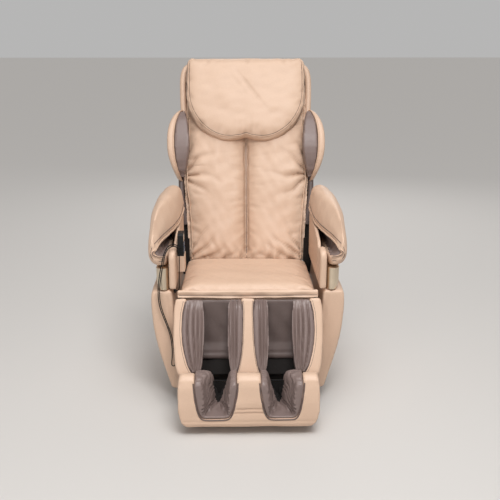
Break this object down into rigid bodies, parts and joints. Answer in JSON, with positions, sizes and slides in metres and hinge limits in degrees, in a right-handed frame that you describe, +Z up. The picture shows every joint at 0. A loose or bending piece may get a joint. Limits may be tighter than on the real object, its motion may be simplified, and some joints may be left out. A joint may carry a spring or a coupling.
{
  "type": "massage chair",
  "caption": "Upright reclining massage chair with leg and foot rest, padded arm channels, shoulder wings, flip-up head pillow and a wired handset.",
  "frame": {"origin": "on the floor, under the middle of the chair's box", "axes": "+Z up, the chair faces -Y, +X to the right seen from the front"},
  "size_m": [0.732, 1.2139, 1.263],
  "materials": {
    "cream_leather": "upholstery leatherette, soft satin",
    "taupe_leather": "thin stretch leatherette, matte",
    "champagne_metal": "satin anodised champagne",
    "frame_paint": "black powder coat",
    "bright_steel": "turned and ground steel",
    "black_plastic": "fine spark texture",
    "key_plastic": "smooth grey-blue",
    "display_glass": "dark tinted window",
    "foot_rubber": "matte",
    "cord_jacket": "smooth matte PVC",
    "roller_plastic": "smooth hard nylon",
    "plywood": "plain birch ply"
  },
  "bodies": {
    "base": {"air_pump": "black_plastic", "arm_airbag_left": "taupe_leather", "arm_airbag_right": "taupe_leather", "arm_hood_left": "cream_leather", "arm_hood_right": "cream_leather", "arm_inner_panel_left": "cream_leather", "arm_inner_panel_right": "cream_leather", "arm_post_left": "cream_leather", "arm_post_right": "cream_leather", "base_frame": "frame_paint", "control_box": "black_plastic", "cord_grommet": "foot_rubber", "handset_case": "black_plastic", "handset_cord": "cord_jacket", "handset_display": "display_glass", "handset_pocket": "cream_leather", "levelling_feet": "foot_rubber", "pivot_pins": "bright_steel", "power_inlet": "black_plastic", "rear_base_cover": "black_plastic", "seat_cushion": "cream_leather", "seat_front_flap": "cream_leather", "seat_pan": "plywood", "side_skirt_left": "cream_leather", "side_skirt_right": "cream_leather", "trim_panel_left": "champagne_metal", "trim_panel_right": "champagne_metal"},
    "backrest": {"back_frame": "frame_paint", "back_shell": "cream_leather", "back_pad": "cream_leather", "wing_shell_left": "cream_leather", "wing_shell_right": "cream_leather", "wing_airbag_left": "taupe_leather", "wing_airbag_right": "taupe_leather"},
    "pillow": {"head_pillow": "cream_leather"},
    "carriage": {"massage_carriage": "black_plastic"},
    "kneading_left": {"kneading_arm_left": "black_plastic"},
    "kneading_right": {"kneading_arm_right": "black_plastic"},
    "roller_lower_left": {"lower_roller_left": "roller_plastic"},
    "roller_lower_right": {"lower_roller_right": "roller_plastic"},
    "roller_upper_left": {"upper_roller_left": "roller_plastic"},
    "roller_upper_right": {"upper_roller_right": "roller_plastic"},
    "leg_rest": {"calf_shell": "cream_leather", "calf_airbags_left": "taupe_leather", "calf_airbags_right": "taupe_leather"},
    "foot_rest": {"foot_shell": "cream_leather", "foot_liner_left": "taupe_leather", "foot_liner_right": "taupe_leather", "foot_slide_rods": "bright_steel"},
    "wheel_left": {"rear_wheel_left": "foot_rubber"},
    "wheel_right": {"rear_wheel_right": "foot_rubber"},
    "switch_rocker": {"power_switch": "black_plastic"},
    "back_drive": {"back_actuator_body": "black_plastic"},
    "back_drive_rod": {"back_actuator_rod": "bright_steel"},
    "leg_drive": {"leg_actuator_body": "black_plastic"},
    "leg_drive_rod": {"leg_actuator_rod": "bright_steel"},
    "key_start": {"handset_key_start": "key_plastic"},
    "key_stop": {"handset_key_stop": "key_plastic"},
    "key_up": {"handset_key_up": "key_plastic"},
    "key_down": {"handset_key_down": "key_plastic"}
  },
  "joints": [
    {"name": "recline", "type": "hinge", "parent": "base", "child": "backrest", "pos_m": [0, 0.2, 0.34], "axis": [-1, 0, 0], "range_deg": [0, 45]},
    {"name": "pillow_flip", "type": "hinge", "parent": "backrest", "child": "pillow", "pos_m": [0, 0.53471, 1.22183], "axis": [-1, 0, 0], "range_deg": [0, 150]},
    {"name": "carriage_travel", "type": "slide", "parent": "backrest", "child": "carriage", "axis": [0, 0.3746, 0.9272], "range_m": [-0.24, 0.28]},
    {"name": "knead_left", "type": "hinge", "parent": "carriage", "child": "kneading_left", "pos_m": [0, 0.36661, 0.72567], "axis": [1, 0, 0], "range_deg": [-8, 8]},
    {"name": "knead_right", "type": "hinge", "parent": "carriage", "child": "kneading_right", "pos_m": [0, 0.36661, 0.72567], "axis": [1, 0, 0], "range_deg": [-8, 8]},
    {"name": "lower_roller_spin_left", "type": "hinge", "parent": "kneading_left", "child": "roller_lower_left", "pos_m": [0, 0.33111, 0.66451], "axis": [1, 0, 0], "continuous": true},
    {"name": "lower_roller_spin_right", "type": "hinge", "parent": "kneading_right", "child": "roller_lower_right", "pos_m": [0, 0.33111, 0.66451], "axis": [1, 0, 0], "continuous": true},
    {"name": "upper_roller_spin_left", "type": "hinge", "parent": "kneading_left", "child": "roller_upper_left", "pos_m": [0, 0.38356, 0.79432], "axis": [1, 0, 0], "continuous": true},
    {"name": "upper_roller_spin_right", "type": "hinge", "parent": "kneading_right", "child": "roller_upper_right", "pos_m": [0, 0.38356, 0.79432], "axis": [1, 0, 0], "continuous": true},
    {"name": "leg_lift", "type": "hinge", "parent": "base", "child": "leg_rest", "pos_m": [0, -0.345, 0.414], "axis": [-1, 0, 0], "range_deg": [0, 66]},
    {"name": "foot_reach", "type": "slide", "parent": "leg_rest", "child": "foot_rest", "axis": [0, -0.4067, -0.9135], "range_m": [0, 0.1]},
    {"name": "wheel_spin_left", "type": "hinge", "parent": "base", "child": "wheel_left", "pos_m": [-0.18, 0.362, 0.033], "axis": [1, 0, 0], "continuous": true},
    {"name": "wheel_spin_right", "type": "hinge", "parent": "base", "child": "wheel_right", "pos_m": [0.18, 0.362, 0.033], "axis": [1, 0, 0], "continuous": true},
    {"name": "switch_rock", "type": "hinge", "parent": "base", "child": "switch_rocker", "pos_m": [0.12, 0.331, 0.133], "axis": [1, 0, 0], "range_deg": [-6, 6]},
    {"name": "back_drive_swing", "type": "hinge", "parent": "base", "child": "back_drive", "pos_m": [-0.066, -0.15, 0.2], "axis": [1, 0, 0], "range_deg": [0, 11.3]},
    {"name": "back_drive_stroke", "type": "slide", "parent": "back_drive", "child": "back_drive_rod", "axis": [0, 0.9842, 0.1771], "range_m": [-0.0342, 0]},
    {"name": "leg_drive_swing", "type": "hinge", "parent": "base", "child": "leg_drive", "pos_m": [0.066, -0.06, 0.15], "axis": [1, 0, 0], "range_deg": [0, 2.5]},
    {"name": "leg_drive_stroke", "type": "slide", "parent": "leg_drive", "child": "leg_drive_rod", "axis": [0, -0.8846, 0.4664], "range_m": [0, 0.1366]},
    {"name": "press_start", "type": "slide", "parent": "base", "child": "key_start", "axis": [-1, 0, 0], "range_m": [0, 0.0008], "stiffness_N_per_m": 400},
    {"name": "press_stop", "type": "slide", "parent": "base", "child": "key_stop", "axis": [-1, 0, 0], "range_m": [0, 0.0008], "stiffness_N_per_m": 400},
    {"name": "press_up", "type": "slide", "parent": "base", "child": "key_up", "axis": [-1, 0, 0], "range_m": [0, 0.0008], "stiffness_N_per_m": 400},
    {"name": "press_down", "type": "slide", "parent": "base", "child": "key_down", "axis": [-1, 0, 0], "range_m": [0, 0.0008], "stiffness_N_per_m": 400}
  ],
  "couplings": [
    {"joint": "knead_right", "follows": "knead_left", "ratio": -1},
    {"joint": "foot_reach", "follows": "leg_lift", "m_per_rad": 0.08681},
    {"joint": "back_drive_swing", "follows": "recline", "ratio": 0.2511},
    {"joint": "back_drive_stroke", "follows": "recline", "m_per_rad": -0.04353},
    {"joint": "leg_drive_swing", "follows": "leg_lift", "ratio": 0.0379},
    {"joint": "leg_drive_stroke", "follows": "leg_lift", "m_per_rad": 0.11857}
  ]
}
